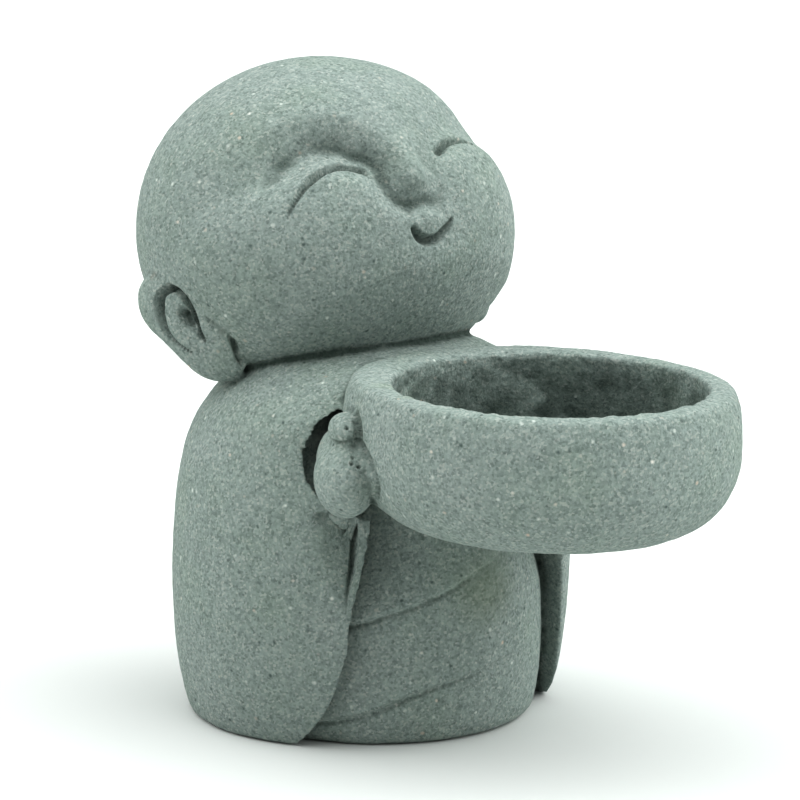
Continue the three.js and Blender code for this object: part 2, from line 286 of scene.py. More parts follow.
lip = BOWL_RADIUS - RIM_LEAN
mouth = lip - BOWL_WALL
widest = BOWL_RADIUS - BOWL_WALL
# Points where one curve of the outline hands over to the next, outside and then inside
foot_edge = (BOWL_FOOT_RADIUS - 1, 0)
bulge = (BOWL_RADIUS, 0.56 * BOWL_HEIGHT)
outer_edge = (lip, BOWL_HEIGHT - RIM_ROUND)
floor_edge = (BOWL_FOOT_RADIUS - 2, BOWL_FLOOR)
belly_inside = (widest, BOWL_FLOOR + 0.45 * BOWL_DEPTH)
inner_edge = (mouth, BOWL_HEIGHT - 0.9)
inner_top = (mouth + 1.2, BOWL_HEIGHT)
bowl_outside = (
    curve([(0, 0), foot_edge], 6)
    + curve([foot_edge, (BOWL_FOOT_RADIUS + 6, 0), (BOWL_RADIUS, 0.22 * BOWL_HEIGHT), bulge], 16)[1:]
    + curve([bulge, (BOWL_RADIUS, 0.8 * BOWL_HEIGHT), (lip + 0.4, 0.9 * BOWL_HEIGHT), outer_edge], 10)[1:]
    + curve([outer_edge, (lip - 0.2, BOWL_HEIGHT), (lip - RIM_ROUND, BOWL_HEIGHT)], 8)[1:])
bowl_inside = (
    curve([(0, BOWL_FLOOR), floor_edge], 6)
    + curve([floor_edge, (widest, BOWL_FLOOR), belly_inside])[1:]
    + curve([belly_inside, (widest, 0.8 * BOWL_HEIGHT), inner_edge])[1:])


def spun(profile):
    bm = bmesh.new()
    verts = [bm.verts.new((x, 0, z)) for x, z in profile]
    edges = [bm.edges.new(pair) for pair in zip(verts, verts[1:])]
    bmesh.ops.spin(bm, geom=verts + edges, cent=(0, 0, 0), axis=(0, 0, 1), angle=2 * math.pi, steps=144,
                   use_merge=True)
    bmesh.ops.remove_doubles(bm, verts=bm.verts, dist=1e-4)
    return bm


def thicken_back(p):
    out = float(smoothstep(math.hypot(p.x, p.y), mouth - 0.5, lip))
    return Vector((p.x, p.y + BACK_THICKENING * float(smoothstep(p.y, 0, 0.75 * BOWL_RADIUS)) * out, p.z))


rim = curve([inner_edge, (mouth + 0.1, BOWL_HEIGHT), inner_top], 5)
bowl = move(spun(bowl_outside + rim[::-1] + bowl_inside[::-1][1:]), thicken_back)
bmesh.ops.translate(bowl, verts=bowl.verts, vec=BOWL_CENTRE)
bowl = as_object(bowl, "bowl")

ABOVE = 8                       # how far the cutter of the hollow goes on above the rim
hollow = spun(bowl_inside + [inner_top, (mouth + 2, BOWL_HEIGHT + ABOVE), (0, BOWL_HEIGHT + ABOVE)])
bmesh.ops.translate(hollow, verts=hollow.verts, vec=BOWL_CENTRE)
hollow = as_object(hollow, "hollow")
for form in (robe, belly):
    cutter = bpy.data.objects.new("cutter", hollow.data)
    bpy.context.collection.objects.link(cutter)
    cut(form, cutter)
bpy.data.objects.remove(hollow)
print("bowl:", len(bowl.data.polygons), "faces, wall", BOWL_WALL, "mm")

# %% [markdown]
# ## The hands
#
# Each hand is a closed fist, no more than a ball with a thumb on top, pressed against the bowl's side. Its
# wrist goes back into the sleeve. Three stretched balls are enough, because the melting step joins them.

# %% Fist, thumb and wrist
HAND_ANGLE = math.radians(150)
HAND_OUTSIDE = 2.3
HAND_HEIGHT = 53.2
# Half sizes, place along the bowl's side and place above the hand's middle
hand_balls = [((5.5, 8.8, 7.1), 0, 0), ((3.2, 4.9, 3.1), 0.2, 8.5), ((4, 10, 6.4), 8.5, 0.6)]


def ball(half, fineness=5):
    bm = bmesh.new()
    bmesh.ops.create_icosphere(bm, subdivisions=fineness, radius=1)
    bmesh.ops.scale(bm, verts=bm.verts, vec=half)
    return bm


hands = []
for half_size, along, up in hand_balls:
    bm = ball(half_size)
    bmesh.ops.translate(bm, verts=bm.verts, vec=(-BOWL_RADIUS - HAND_OUTSIDE, along, up))
    bmesh.ops.rotate(bm, verts=bm.verts, cent=(0, 0, 0), matrix=Matrix.Rotation(HAND_ANGLE - math.pi, 3, "Z"))
    bmesh.ops.translate(bm, verts=bm.verts, vec=(0, BOWL_CENTRE[1], HAND_HEIGHT))
    hands.append(as_object(bm, "hand"))
    hands.append(mirrored(hands[-1]))
print("hands:", len(hands), "balls")

# %% [markdown]
# ## The head
#
# The head is a wide ball, tipped far back. The face is modelled on it in the head's own frame, as seen from
# its front: x to the side and z up. Each soft form is one term of a height: a valley under each brow that
# falls steeply from the forehead and rises slowly over the eyelid, a nose that drops off at its tip, the
# cheeks, the small pad of the upper lip, the chin and a flat place at each temple. Every point of the ball
# goes out or in by that height.

# %% The face as a height
HEAD_CENTRE = Vector((0, 16.1, 87.6))
HEAD_HALF = np.array([37.5, 30.5, 33.6])
HEAD_TURN = Matrix.Rotation(math.radians(-40), 3, "X") @ Matrix.Rotation(math.radians(-5), 3, "Y")
FACE_MIDDLE = -0.9
brow_line = through([(0, -10), (1.6, -9.8), (2.9, -8.8), (3.4, -7), (3.6, -4.8), (4, -2.4), (4.9, -0.1),
                     (6.2, 2.4), (8.2, 5), (11, 7), (14.6, 8.4), (18.8, 8.6), (23, 7), (26.5, 3.6),
                     (28.5, -1)], 90)
# Share along the line, the hollow's depth beside it, how far the fall and the rise reach
brow_table = np.array([(0, 1.4, 1.3, 4.5), (0.12, 2, 1.7, 6), (0.3, 2.8, 2.1, 9), (0.5, 3.8, 2.8, 12),
                       (0.68, 3.7, 3.1, 12), (0.85, 3.1, 2.8, 12), (0.94, 1.6, 2.6, 12), (1, 0, 2.6, 12)])
FAR_BROW = 0.55                 # the brow on the figure's left is softer


def beside(line, x, z):
    """For places (x, z): the distance to a line, on which side (+ above), and the share along it."""
    place = np.stack([x, z], -1)
    best = np.full(len(x), 1e9)
    side = np.zeros(len(x))
    share = np.zeros(len(x))
    for i, (a, b) in enumerate(zip(line, line[1:])):
        step = b - a
        t = np.clip(((place - a) @ step) / (step @ step), 0, 1)
        off = place - a - t[:, None] * step
        distance = np.hypot(off[:, 0], off[:, 1])
        nearer = distance < best
        best[nearer] = distance[nearer]
        side[nearer] = np.sign(step[0] * off[nearer, 1] - step[1] * off[nearer, 0])
        share[nearer] = (i + t[nearer]) / (len(line) - 1)
    return best, side, share


def face_height(x, z):
    """How far the face stands out from the ball at (x, z), in mm."""
    off = np.abs(x - FACE_MIDDLE + 0.6 * bell(z + 8, 6))
    distance, side, share = beside(brow_line, off, z)
    above = distance * side
    columns = brow_table[:, 1:].T
    depth, fall_reach, rise_end = (np.interp(share, brow_table[:, 0], column) for column in columns)
    far = smoothstep(x - FACE_MIDDLE, 0, 5)
    depth = depth * (1 - (1 - FAR_BROW) * far)
    fall_reach = fall_reach * (1 + 0.6 * far)
    fallen = np.clip((fall_reach - above) / (2 * fall_reach), 0, 1)
    fallen = 0.6 * fallen + 0.4 * smoothstep(fallen, 0, 1)
    valley = -depth * fallen * (1 - smoothstep(-above, 0.9 * fall_reach, rise_end))
    bridge = 0.8 * bell(off, 2.8) * smoothstep(-z, -5, 3) * (z > -30)
    tip = 1.1 * bell(np.hypot(off, z + 7.2), 3.1)
    below_nose = smoothstep(-z, 7.8, 10.8)
    cheek = 1.3 * bell(off - 19, 12) * bell(z + 12, 9)
    lip_pad = 0.9 * bell(np.hypot(x - FACE_MIDDLE + 0.3, z + 15), 2.4)
    chin = 0.8 * bell(off, 8) * bell(z + 24, 5)
    temple = -1.9 * bell(off - 29, 7) * bell(z - 4, np.where(z > 4, 8, 5))
    return valley + (bridge + tip) * (1 - below_nose) + cheek + lip_pad + chin + temple


# %% The head and its ears
EAR_HALF = (4.6, 8.4, 13)
EAR_CENTRE = (-32.5, 6.9, -10.2)
EAR_TURNS = ((15, "Z"), (-14, "Y"), (-14, "X"))


def outward(p):
    """The direction that points straight out of the head's ball."""
    n = p / HEAD_HALF ** 2
    return n / np.linalg.norm(n, axis=-1, keepdims=True)


head = ball(HEAD_HALF, 7)
head.verts.ensure_lookup_table()
places = np.array([vert.co for vert in head.verts])
front = smoothstep(-places[:, 1], 0, 8)
tuck = 0.25 * np.maximum(0, -21.3 - places[:, 2]) * smoothstep(-places[:, 1], -12, 0)
places += outward(places) * (face_height(places[:, 0], places[:, 2]) * front - tuck)[:, None]
for vert, place in zip(head.verts, places):
    vert.co = HEAD_TURN @ Vector(place) + HEAD_CENTRE
head = as_object(head, "head")


def ear(side):
    bm = ball(EAR_HALF)

    def slim(p):
        """A straighter back edge, and a narrow lobe."""
        less = 0.27 * float(bell(p.z - 1, 8)) if p.y > 0 else 0.35 * float(smoothstep(-p.z, 5, 12))
        return Vector((p.x, p.y * (1 - less), p.z))

    move(bm, slim)
    for angle, axis in EAR_TURNS:
        turn = Matrix.Rotation(math.radians(angle), 3, axis)
        bmesh.ops.rotate(bm, verts=bm.verts, cent=(0, 0, 0), matrix=turn)
    bmesh.ops.translate(bm, verts=bm.verts, vec=EAR_CENTRE)
    bmesh.ops.scale(bm, verts=bm.verts, vec=(-side, 1, 1))
    bmesh.ops.translate(bm, verts=bm.verts, vec=(FACE_MIDDLE, 0, 0))
    bmesh.ops.rotate(bm, verts=bm.verts, cent=(0, 0, 0), matrix=HEAD_TURN)
    bmesh.ops.translate(bm, verts=bm.verts, vec=HEAD_CENTRE)
    return as_object(bm, "ear")


ears = [ear(-1), ear(1)]
print("head:", len(head.data.polygons), "faces, and two ears")

# %% [markdown]
# ## Melting the forms into one skin
#
# A mould has no inner faces and no loose seams. All forms go into one mesh, and a Remesh modifier in its
# voxel mode pours them full: it throws away what is inside and lays one even net of squares over the rest.
# A few rounds of smoothing then round every inner and outer edge a little, as sand and cement do. The long
# edges of the front opening get more rounds, because they are the softest.

# %% One skin
VOXEL = 0.46
SOFTENING = 5
EDGE_SOFTENING = 14
# Where the edges of the opening are, on either side: sideways, in depth and in height
EDGE_BOX = ((17, 27.5), (-31, -12), (2, 46.5))

skin = bmesh.new()
for form in [robe, belly, bowl, head] + hands + ears:
    skin.from_mesh(form.data)
    bpy.data.objects.remove(form)
statue = as_object(skin, "statue")
melt = statue.modifiers.new("melt", "REMESH")
melt.mode = "VOXEL"
melt.voxel_size = VOXEL
settle(statue)

bm = bmesh.new()
bm.from_mesh(statue.data)
across, deep, high = EDGE_BOX
opening_verts = [v for v in bm.verts if across[0] < abs(v.co.x) < across[1] and deep[0] < v.co.y < deep[1]
                 and high[0] < v.co.z < high[1]]
for group, rounds in ((bm.verts, SOFTENING), (opening_verts, EDGE_SOFTENING)):
    for _ in range(rounds):
        bmesh.ops.smooth_vert(bm, verts=group, factor=0.5, use_axis_x=True, use_axis_y=True,
                              use_axis_z=True)
print("skin:", len(bm.faces), "squares of", VOXEL, "mm")

# %% [markdown]
# ## The carving
#
# The eyes are two thin arcs, the mouth is a crescent, and each ear has a horseshoe groove with a pit in it
# and a crease at its lobe. All are lines pressed into the skin: a line lies on the surface, and each point
# near it goes in by a depth that falls off with its distance. Lines of the face and the ears are measured
# as seen straight on, and lines of the hands and sleeves as places in the figure's frame. First the squares
# near the lines are split, so that a groove one millimetre wide has enough points across it.

# %% Where the carved lines run
surface = BVHTree.FromBMesh(bm)


def on_head(x, z):
    """The place of the skin that is seen at (x, z) of the face, from the head's own front."""
    start = HEAD_TURN @ Vector((FACE_MIDDLE + x, -60, z)) + HEAD_CENTRE
    return surface.ray_cast(start, HEAD_TURN @ Vector((0, 1, 0)))[0]


def on_ear(y, z, side):
    """The place of the skin that is seen at (y, z) of the ear's own frame, looking straight at the ear."""
    ends = []
    for x in (-20, 0):
        p = Vector((x, y, z))
        for angle, axis in EAR_TURNS:
            p = Matrix.Rotation(math.radians(angle), 3, axis) @ p
        p += Vector(EAR_CENTRE)
        ends.append(HEAD_TURN @ Vector((FACE_MIDDLE - side * p.x, p.y, p.z)) + HEAD_CENTRE)
    return surface.ray_cast(ends[0], ends[1] - ends[0])[0]


def seen(line, place, *side):
    """A smooth line through points of the face or the ear, as places on the skin."""
    return np.array([place(*point, *side) for point in through(line, 48)])


def laid(line, side, count=32):
    """A smooth line through places near the skin, on one side of the figure, dropped onto it."""
    return np.array([surface.find_nearest(Vector((-side * x, y, z)))[0] for x, y, z in through(line, count)])


near_eye = [(-8.1, -3), (-8.7, -2.2), (-11.7, -0.8), (-14.6, -0.5), (-18.3, -1.3), (-21.1, -2.6),
            (-24.2, -5.2), (-25.2, -6.5)]
far_eye = [(9.1, -2.4), (10.3, -1.6), (12.2, -0.6), (14.1, -0.1), (18, 0), (20.2, -0.4), (22.4, -1.4)]
mouth_arc = [(-3.8, -15.9), (-3.6, -16.6), (-3, -17.4), (-1.9, -18.2), (-0.7, -18.5), (1.1, -18.3),
             (2.8, -17.5), (4.4, -16.5), (5.4, -15.6)]
horseshoe = [(-1.3, -5.1), (-1.9, -3.5), (-2.9, -1.8), (-3.8, 0), (-4.8, 1.7), (-5.3, 3.8), (-4.5, 6.1),
             (-3, 7), (-1.6, 6.9), (-0.2, 6), (1.1, 4.5), (2.2, 2.9), (2.8, 0.7), (2.8, -1.6), (2.2, -4.1)]
ear_pit = [(-2.8, 1.2), (-2.2, -0.6), (-2, -2.7)]
lobe_crease = [(-4.5, -8.1), (-3.8, -9.4), (-2.4, -11), (-1.4, -12.4)]
thumb_crease = [(-33.4, -31, 60.6), (-34, -32.6, 60.3), (-33.4, -35.8, 60.6), (-31.9, -37.2, 61.3)]
thumb_gap = [(-30.9, -34.9, 65), (-31.1, -35.6, 64.2), (-31.7, -36.9, 63), (-31.9, -37.4, 61.6)]
fist_gap = [(-32, -37, 60.7), (-32.6, -39.9, 58.9), (-32.9, -42.1, 56.7), (-32.7, -43.1, 54.3),
            (-31.5, -41.4, 51.6)]
knuckle_pits = [(-33.9, -38, 58.3), (-34.3, -37.9, 56.7), (-33.7, -39.8, 57.1), (-33.4, -35.5, 62.7)]
sleeve_slit = [(-23.8, -25.4, 45), (-23.8, -25.4, 42), (-23.9, -25.4, 38), (-24.2, -25.5, 35),
               (-24.9, -25.6, 32), (-25.4, -25.6, 29), (-25.7, -25.6, 25)]
SLIT_POINTS = 60

# %% How wide and how deep they are
# For each line: pairs of share along it and half width, and pairs of share along it and depth
eye_cut = ([(0, 0.7), (0.1, 0.85), (0.6, 0.8), (1, 0.35)], [(0, 1.1), (0.1, 1.9), (0.6, 1.8), (1, 0.3)])
mouth_cut = ([(0, 0.6), (0.3, 0.85), (0.55, 0.85), (0.8, 0.7), (1, 0.35)],
             [(0, 1.5), (0.3, 2.5), (0.6, 2.5), (1, 0.6)])
horseshoe_cut = ([(0, 0.4), (0.2, 0.65), (0.4, 0.65), (0.62, 1), (0.78, 0.8), (0.9, 0.5), (1, 0.3)],
                 [(0, 0.7), (0.15, 2.2), (0.4, 2.6), (0.62, 4), (0.78, 3.4), (0.9, 1.8), (1, 0.4)])
pit_cut = ([(0, 1), (0.6, 0.9), (1, 0.5)], [(0, 2.4), (0.6, 2), (1, 1)])
lobe_cut = ([(0, 0.35), (0.3, 0.45), (1, 0.7)], [(0, 0.4), (0.3, 1.1), (1, 1.4)])
crease_cut = ([(0, 0.3), (1, 0.35)], [(0, 0.3), (0.5, 0.4), (1, 0.5)])
thumb_cut = ([(0, 0.6), (1, 0.8)], [(0, 0.6), (1, 1)])
fist_cut = ([(0, 0.8), (0.5, 1.1), (1, 0.7)], [(0, 0.9), (0.5, 1.7), (1, 0.8)])
slit_cut = ([(0, 0.5), (0.6, 0.4), (1, 0.3)], [(0, 2.4), (0.45, 1.9), (0.7, 0.7), (1, 0)])
knuckle_cut = ([(0, 0.35), (1, 0.35)], [(0, 0.5), (1, 0.5)])

grooves = [(seen(near_eye, on_head), *eye_cut), (seen(far_eye, on_head), *eye_cut),
           (seen(mouth_arc, on_head), *mouth_cut)]
for side in (-1, 1):
    grooves += [(seen(horseshoe, on_ear, side), *horseshoe_cut), (seen(ear_pit, on_ear, side), *pit_cut),
                (seen(lobe_crease, on_ear, side), *lobe_cut), (laid(thumb_crease, side), *crease_cut),
                (laid(thumb_gap, side), *thumb_cut), (laid(fist_gap, side), *fist_cut),
                (laid(sleeve_slit, side, SLIT_POINTS), *slit_cut)]
    grooves += [(laid([pit, pit], side, 2), *knuckle_cut) for pit in knuckle_pits]
print("carved lines:", len(grooves))

# %% Splitting the squares near the lines
def near_lines(points, reach):
    close = np.zeros(len(points), bool)
    for line, _, _ in grooves:
        box = np.all((points > line.min(0) - reach) & (points < line.max(0) + reach), axis=1)
        where = np.flatnonzero(box)
        gap = np.linalg.norm(points[where][:, None] - line[None], axis=2).min(1)
        close[where[gap < reach]] = True
    return close


for reach in (2.2, 1.6):
    close = near_lines(np.array([vert.co for vert in bm.verts]), reach)
    between = [edge for edge in bm.edges if close[edge.verts[0].index] and close[edge.verts[1].index]]
    bmesh.ops.subdivide_edges(bm, edges=between, cuts=1, use_grid_fill=True)
    bm.verts.index_update()
    print("split edges:", len(between))
bm.normal_update()

# %% Pressing the lines in
CARVING_REACH = 3
points = np.array([vert.co for vert in bm.verts])
normals = np.array([vert.normal for vert in bm.verts])
height = np.zeros(len(points))
for line, widths, depths in grooves:
    box = np.all((points > line.min(0) - CARVING_REACH) & (points < line.max(0) + CARVING_REACH), axis=1)
    where = np.flatnonzero(box)
    gaps = np.linalg.norm(points[where][:, None] - line[None], axis=2)
    share = gaps.argmin(1) / (len(line) - 1)
    width = np.interp(share, *zip(*widths))
    depth = np.interp(share, *zip(*depths))
    carved = -depth * np.exp(-(gaps.min(1) / width) ** 3)
    height[where] = np.minimum(height[where], carved)
print("deepest carving:", round(-height.min(), 2), "mm")

# %% [markdown]
# ## The sleeve slits and the hems
#
# Below each hand the sleeve hangs open. Its skin turns inwards over a few millimetres and meets a thin
# upright slit, and the narrow strip inside the slit stays forward. The robe's front is three overlapping
# layers, whose hems rise to the figure's left. Each hem is a thin raised edge with a step below it, and
# fades out where the belly turns to the side.

# %% The skin that turns in to the slit
FOLD_DEPTH, FOLD_REACH, FOLD_FOOT, FOLD_TOP = 3.2, 6.4, 25, 47
ROBE_REACH = 40                 # anything further from the figure's axis is the bowl or a hand
from_middle = np.hypot(points[:, 0], points[:, 1])
slit = through([(x, z) for x, _, z in sleeve_slit], SLIT_POINTS)
on_robe = np.flatnonzero((points[:, 1] < -10) & (points[:, 2] > FOLD_FOOT) & (points[:, 2] < FOLD_TOP)
                         & (from_middle < ROBE_REACH) & (np.abs(points[:, 0]) > 20))
x, z = -np.abs(points[on_robe, 0]), points[on_robe, 2]
outer = np.interp(z, slit[::-1, 1], slit[::-1, 0]) - x
strength = smoothstep(z, FOLD_FOOT, FOLD_TOP - 5) * (1 - smoothstep(z, FOLD_TOP - 3, FOLD_TOP))
fold = FOLD_DEPTH * strength * (1 - smoothstep(outer, 0, 1 + FOLD_REACH * strength)) * (outer > -0.2)
facing = smoothstep(-normals[on_robe, 1] + 0.5 * np.abs(normals[on_robe, 0]), 0.2, 0.6)
height[on_robe] -= fold * facing
print("the folds go in by up to", round(float(fold.max()), 2), "mm")

# %% The hems
BELLY_TOP, BELLY_REACH = 43.5, 36
BELLY_GAP = 0.4                 # kept clear beside the edges of the opening
lower_hem = [(-27, 4), (-20.2, 6.7), (-14.4, 9.8), (-8.7, 11.9), (-2, 13.4), (6, 15.2), (22, 20)]
upper_hem = [(-27, 21), (-22, 23.3), (-16, 26), (-10.8, 28.2), (-6.9, 30), (-2.4, 32.2), (6, 36), (22, 43)]
hems = [through(lower_hem, 60), through(upper_hem, 60)]
opening_half = np.interp(points[:, 2], *zip(*opening_edge))
on_belly = ((np.abs(points[:, 0]) < opening_half - BELLY_GAP) & (points[:, 1] < -6)
            & (points[:, 2] < BELLY_TOP) & (from_middle < BELLY_REACH))
where = np.flatnonzero(on_belly)
for hem in hems:
    gap, side, _ = beside(hem, points[where, 0], points[where, 2])
    above = gap * side
    raised = 0.8 * smoothstep(above, -0.3, 0.3) * np.exp(-np.maximum(above, 0) / 6)
    step = raised - 0.35 * bell(above + 0.7, 0.7)
    height[where] += step * (1 - smoothstep(points[where, 0], -1, 9))
print("points of the belly:", len(where))

# %% Moving the skin in and out
for vert, lift, direction in zip(bm.verts, height, normals):
    vert.co += Vector(direction * lift)
bm.to_mesh(statue.data)
bm.free()
print("the skin moves by", round(height.min(), 2), "to", round(height.max(), 2), "mm")

# %% Thinning where the skin is plain
TRIANGLES = 190000
now = sum(len(face.vertices) - 2 for face in statue.data.polygons)
thin = statue.modifiers.new("thin", "DECIMATE")
thin.ratio = min(1, TRIANGLES / now)
settle(statue)
print("statue:", sum(len(face.vertices) - 2 for face in statue.data.polygons), "triangles, from", now)

# %% [markdown]
# ## The sandy skin
#
# Last comes the stone's own skin: slow unevenness from the clay model, and the sand, which shows on the
# outline. The inside of the bowl was never smoothed, so it is the roughest place.

# %% Sand on the skin
# Height and width of each unevenness in mm: everywhere, and more of it inside the bowl
SKIN_WAVES = ((0.16, 9), (0.07, 2.1), (0.05, 1.1))
BOWL_WAVES = ((0.3, 1.9), (0.16, 0.9))


def uneven(p, waves):
    return sum(high * noise.noise(p / wide) for high, wide in waves)


mesh = statue.data
from_axis = np.array([math.hypot(vert.co.x, vert.co.y - BOWL_CENTRE[1]) for vert in mesh.vertices])
heights = np.array([vert.co.z for vert in mesh.vertices])
HOLLOW_FOOT, HOLLOW_TOP = BOWL_CENTRE[2] + BOWL_FLOOR - 2, 70
inside = (from_axis < BOWL_RADIUS - BOWL_WALL + 1) & (heights > HOLLOW_FOOT) & (heights < HOLLOW_TOP)
lifts = [uneven(vert.co, SKIN_WAVES) + float(within) * uneven(vert.co, BOWL_WAVES)
         for vert, within in zip(mesh.vertices, inside)]
directions = [vert.normal.copy() for vert in mesh.vertices]
for vert, lift, direction in zip(mesh.vertices, lifts, directions):
    vert.co += direction * lift
    vert.co.z = max(vert.co.z, 0)
mesh.transform(Matrix.Scale(MM, 4))
for face in mesh.polygons:
    face.use_smooth = True
print("sand lifts the skin by", round(min(lifts), 2), "to", round(max(lifts), 2), "mm")

# %% [markdown]
# ## Hollows
#
# Shade gathers in hollows, and the material paints it into the stone's colour as painted shade. It could be
# painted by hand, but the mesh knows where they are: where a point lies below the average of its
# surroundings, it is in a hollow. How far below is kept on the mesh as one number for each point, for the
# material to read.

# %% Measuring the hollows
WIDE_ROUNDS = 14                # how wide the surroundings are
SOFT_ROUNDS = 2                 # rounds that even out the result
FULL_HOLLOW = 0.35              # mm below its surroundings that counts as a full hollow
count = len(mesh.vertices)
co = np.empty(count * 3)
mesh.vertices.foreach_get("co", co)
co = co.reshape(-1, 3) / MM
nor = np.empty(count * 3)
mesh.vertices.foreach_get("normal", nor)
nor = nor.reshape(-1, 3)
ends = np.empty(len(mesh.edges) * 2, int)
mesh.edges.foreach_get("vertices", ends)
a, b = ends.reshape(-1, 2).T
neighbours = np.bincount(a, minlength=count) + np.bincount(b, minlength=count)


def averaged(values):
    total = np.bincount(a, values[b], count) + np.bincount(b, values[a], count)
    return total / neighbours


smooth = co.copy()
for _ in range(WIDE_ROUNDS):
    smooth = np.stack([averaged(smooth[:, k]) for k in range(3)], 1)
bend = ((smooth - co) * nor).sum(1)
for _ in range(SOFT_ROUNDS):
    bend = averaged(bend)
# How deep each point lies in a hollow, which the material turns into painted shade
hollow_values = np.clip(bend / FULL_HOLLOW, -1, 1)
mesh.attributes.new("hollow", "FLOAT", "POINT").data.foreach_set("value", hollow_values.astype(np.float32))
print("hollow from", round(hollow_values.min(), 2), "to", round(hollow_values.max(), 2))

# %% [markdown]
# ## The stone
#
# Cast stone is cement with sand in it: a dull sage grey body full of grains between a quarter and most of a
# millimetre, some pale quartz, some buff and some dark, and small open pores. It is matt, with no coat.
# Each grain is one cell of a Voronoi pattern that picks its colour by chance, so most stay near the
# body's colour and a few are light or dark. Wide noise makes the body drift between greener and greyer.

# %% Colours and nodes
def linear(hex_colour):
    """An sRGB hex colour as linear red, green, blue and alpha."""
    parts = [int(hex_colour[i:i + 2], 16) / 255 for i in (1, 3, 5)]
    return [c / 12.92 if c <= 0.04045 else ((c + 0.055) / 1.055) ** 2.4 for c in parts] + [1]


def add(tree, kind, inputs=None, stops=(), **settings):
    """Adds a node with its settings and its colour ramp's stops, and gives or links its inputs."""
    node = tree.nodes.new(kind)
    for name, value in settings.items():
        setattr(node, name, value)
    for i, (place, colour) in enumerate(stops):
        elements = node.color_ramp.elements
        element = elements[i] if i < 2 else elements.new(place)
        element.position, element.color = place, linear(colour)
    for name, value in (inputs or {}).items():
        if isinstance(value, bpy.types.NodeSocket):
            tree.links.new(value, node.inputs[name])
        else:
            node.inputs[name].default_value = linear(value) if isinstance(value, str) else value
    return node


# %% The cast stone's colour
GRAIN = 0.42 * MM               # sand
SPECK = 1.7 * MM                # distance between the bright and dark grains
DRIFT = 14 * MM                 # patches of greener and greyer cement
MOTTLE = 1.3 * MM               # cement that set a little lighter or darker
STIR = 0.5 * MM                 # how far the grains are pushed out of round
STIR_WIDTH = 0.9 * MM           # how wide each push is

stone = bpy.data.materials.new("sage grey cast stone")
stone.use_nodes = True
tree = stone.node_tree
shader = tree.nodes["Principled BSDF"]
place = add(tree, "ShaderNodeTexCoord").outputs["Object"]
stir = add(tree, "ShaderNodeTexNoise", {"Vector": place, "Scale": 1 / STIR_WIDTH, "Detail": 2})
stirred = add(tree, "ShaderNodeVectorMath", {0: stir.outputs["Color"], 1: (STIR,) * 3, 2: place},
              operation="MULTIPLY_ADD").outputs["Vector"]

drift = add(tree, "ShaderNodeTexNoise", {"Vector": place, "Scale": 1 / DRIFT, "Detail": 3, "Roughness": 0.55})
body = add(tree, "ShaderNodeValToRGB", {"Fac": drift.outputs["Fac"]},
           [(0.3, "#94a299"), (0.5, "#97a39e"), (0.7, "#9ea8a4")])
mottle = add(tree, "ShaderNodeTexNoise",
             {"Vector": place, "Scale": 1 / MOTTLE, "Detail": 5, "Roughness": 0.72})
mottled = add(tree, "ShaderNodeValToRGB", {"Fac": mottle.outputs["Fac"]},
              [(0.3, "#b4bcb8"), (0.5, "#e6e9e7"), (0.7, "#ffffff")])
mixed = add(tree, "ShaderNodeMix",
            {"Factor": 0.85, "A": body.outputs["Color"], "B": mottled.outputs["Color"]},
            data_type="RGBA", blend_type="MULTIPLY")
print("body:", len(tree.nodes), "nodes so far")

# %% Grains
cells = add(tree, "ShaderNodeTexVoronoi", {"Vector": place, "Scale": 1 / GRAIN, "Randomness": 1})
chance = add(tree, "ShaderNodeSeparateColor", {"Color": cells.outputs["Color"]})
grain = add(tree, "ShaderNodeValToRGB", {"Fac": chance.outputs["Red"]},
            [(0, "#5c6867"), (0.2, "#86928d"), (0.5, "#99a5a0"), (0.8, "#abb4af"), (1, "#c8cac4")])
sandy = add(tree, "ShaderNodeMix",
            {"Factor": 0.38, "A": mixed.outputs["Result"], "B": grain.outputs["Color"]}, data_type="RGBA")

specks = add(tree, "ShaderNodeTexVoronoi", {"Vector": stirred, "Scale": 1 / SPECK, "Randomness": 1})
pick = add(tree, "ShaderNodeSeparateColor", {"Color": specks.outputs["Color"]})
fleck = add(tree, "ShaderNodeValToRGB", {"Fac": specks.outputs["Distance"]},
            [(0.08, "#ffffff"), (0.27, "#000000")])
pale = add(tree, "ShaderNodeValToRGB", {"Fac": pick.outputs["Red"]}, [(0.72, "#000000"), (1, "#ffffff")])
dark = add(tree, "ShaderNodeValToRGB", {"Fac": pick.outputs["Red"]}, [(0.04, "#ffffff"), (0.2, "#000000")])
tint = add(tree, "ShaderNodeValToRGB", {"Fac": pick.outputs["Green"]},
           [(0, "#d2d8d2"), (0.6, "#c8cec9"), (0.85, "#c3b3a3"), (1, "#dfe2dc")])
pale_fleck = add(tree, "ShaderNodeMath", {0: fleck.outputs["Color"], 1: pale.outputs["Color"]},
                 operation="MULTIPLY")
dark_fleck = add(tree, "ShaderNodeMath", {0: fleck.outputs["Color"], 1: dark.outputs["Color"]},
                 operation="MULTIPLY")
lighter = add(tree, "ShaderNodeMix", {"Factor": pale_fleck.outputs["Value"], "A": sandy.outputs["Result"],
                                      "B": tint.outputs["Color"]}, data_type="RGBA")
speckled = add(tree, "ShaderNodeMix", {"Factor": dark_fleck.outputs["Value"],
                                       "A": lighter.outputs["Result"], "B": "#5a6864"}, data_type="RGBA")
print("grains of", GRAIN / MM, "mm, flecks", SPECK / MM, "mm apart")

# %% Painted shade in the hollows, and stains
# Painted shade: the colour is multiplied towards #68766f where a point lies deep in a hollow, where shade
# falls
hollow_shade = add(tree, "ShaderNodeAttribute", attribute_name="hollow")
deep = add(tree, "ShaderNodeValToRGB", {"Fac": hollow_shade.outputs["Fac"]}, [(0.1, "#ffffff"), (0.95, "#68766f")])
colour = add(tree, "ShaderNodeMix",
             {"Factor": 0.9, "A": speckled.outputs["Result"], "B": deep.outputs["Color"]},
             data_type="RGBA", blend_type="MULTIPLY")
